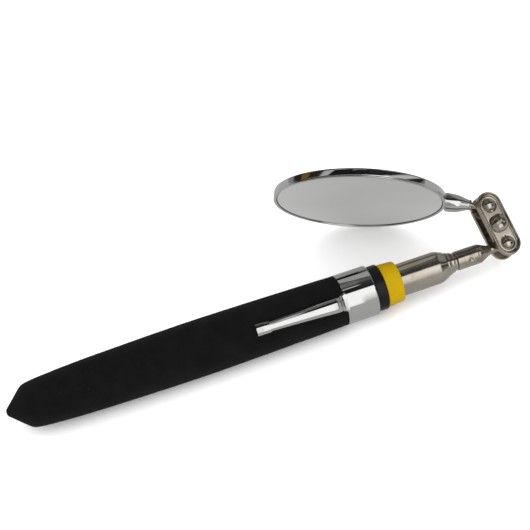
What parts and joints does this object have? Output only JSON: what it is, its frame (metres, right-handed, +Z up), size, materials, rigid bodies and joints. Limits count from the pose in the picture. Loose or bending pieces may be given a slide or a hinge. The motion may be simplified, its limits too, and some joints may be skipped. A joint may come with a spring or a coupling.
{
  "type": "telescoping inspection mirror",
  "caption": "Pocket inspection mirror: foam-sleeved handle with a clip, nested telescoping tubes, double ball swivel and a round chrome-rimmed mirror.",
  "frame": {"origin": "bottom centre of the box round the part as it lies, closed, on a table", "axes": "+X along the handle from its tail to the swivel, +Z up, +Y towards the mirror that stands behind the handle"},
  "size_m": [0.175, 0.056, 0.0494],
  "materials": {
    "foam": "matte closed-cell foam",
    "black_rubber": "moulded rubber, satin",
    "yellow_plastic": "moulded plastic, satin",
    "black_plastic": "moulded plastic",
    "chrome": "polished chrome plate",
    "nickel": "polished nickel plate",
    "steel": "drawn steel",
    "brass": "spring brass",
    "mirror_glass": "back-silvered glass",
    "pad": "thin card pad"
  },
  "bodies": {
    "handle": {"grip_sleeve": "foam", "handle_tube": "steel", "tail_plug": "black_plastic", "rear_bush": "black_plastic", "pocket_clip": "chrome", "band_bush": "black_plastic", "rubber_ring": "black_rubber", "yellow_collar": "yellow_plastic", "tube_1": "nickel"},
    "sleeve_2": {"friction_sleeve_2": "brass"},
    "section_2": {"tube_2": "nickel"},
    "sleeve_3": {"friction_sleeve_3": "brass"},
    "section_3": {"tube_3": "nickel"},
    "sleeve_4": {"friction_sleeve_4": "brass"},
    "section_4": {"tube_4": "nickel"},
    "sleeve_5": {"friction_sleeve_5": "brass"},
    "section_5": {"tube_5": "nickel", "tip_ferrule": "nickel", "lower_pin": "nickel"},
    "lower_ball": {"lower_ball": "nickel"},
    "clamp": {"clamp_plate_front": "nickel", "clamp_plate_back": "nickel", "clamp_screw": "nickel", "lock_washer": "nickel", "clamp_nut": "nickel"},
    "upper_ball": {"upper_ball": "nickel"},
    "upper_pin": {"upper_pin": "nickel"},
    "mirror_head": {"mirror_stem": "chrome", "mirror_housing": "chrome", "mirror_pad": "pad", "mirror_glass": "mirror_glass"}
  },
  "joints": [
    {"name": "section_2_slide", "type": "slide", "parent": "handle", "child": "sleeve_2", "axis": [1, 0, 0], "range_m": [0, 0.095]},
    {"name": "section_2_spin", "type": "hinge", "parent": "sleeve_2", "child": "section_2", "pos_m": [0.08289, -0.01811, 0.00914], "axis": [1, 0, 0], "continuous": true},
    {"name": "section_3_slide", "type": "slide", "parent": "section_2", "child": "sleeve_3", "axis": [1, 0, 0], "range_m": [0, 0.095]},
    {"name": "section_3_spin", "type": "hinge", "parent": "sleeve_3", "child": "section_3", "pos_m": [0.08289, -0.01811, 0.00914], "axis": [1, 0, 0], "continuous": true},
    {"name": "section_4_slide", "type": "slide", "parent": "section_3", "child": "sleeve_4", "axis": [1, 0, 0], "range_m": [0, 0.095]},
    {"name": "section_4_spin", "type": "hinge", "parent": "sleeve_4", "child": "section_4", "pos_m": [0.08289, -0.01811, 0.00914], "axis": [1, 0, 0], "continuous": true},
    {"name": "section_5_slide", "type": "slide", "parent": "section_4", "child": "sleeve_5", "axis": [1, 0, 0], "range_m": [0, 0.095]},
    {"name": "section_5_spin", "type": "hinge", "parent": "sleeve_5", "child": "section_5", "pos_m": [0.08289, -0.01811, 0.00914], "axis": [1, 0, 0], "continuous": true},
    {"name": "lower_tilt", "type": "hinge", "parent": "section_5", "child": "lower_ball", "pos_m": [0.08289, -0.01811, 0.00914], "axis": [0, 0.7883, 0.6152], "range_deg": [-15.4, 4.5]},
    {"name": "lower_swing", "type": "hinge", "parent": "lower_ball", "child": "clamp", "pos_m": [0.08289, -0.01811, 0.00914], "axis": [-0.0952, 0.6125, -0.7848], "range_deg": [-14, 200]},
    {"name": "upper_swing", "type": "hinge", "parent": "clamp", "child": "upper_ball", "pos_m": [0.08142, -0.0073, 0.01775], "axis": [0.0952, -0.6125, 0.7848], "range_deg": [-150, 18]},
    {"name": "upper_tilt", "type": "hinge", "parent": "upper_ball", "child": "upper_pin", "pos_m": [0.08142, -0.0073, 0.01775], "axis": [-0.466, -0.724, -0.5086], "range_deg": [-22, 1]},
    {"name": "mirror_twist", "type": "hinge", "parent": "upper_pin", "child": "mirror_head", "pos_m": [0.08142, -0.0073, 0.01775], "axis": [-0.882, 0.4255, 0.2024], "range_deg": [-60, 65]}
  ]
}
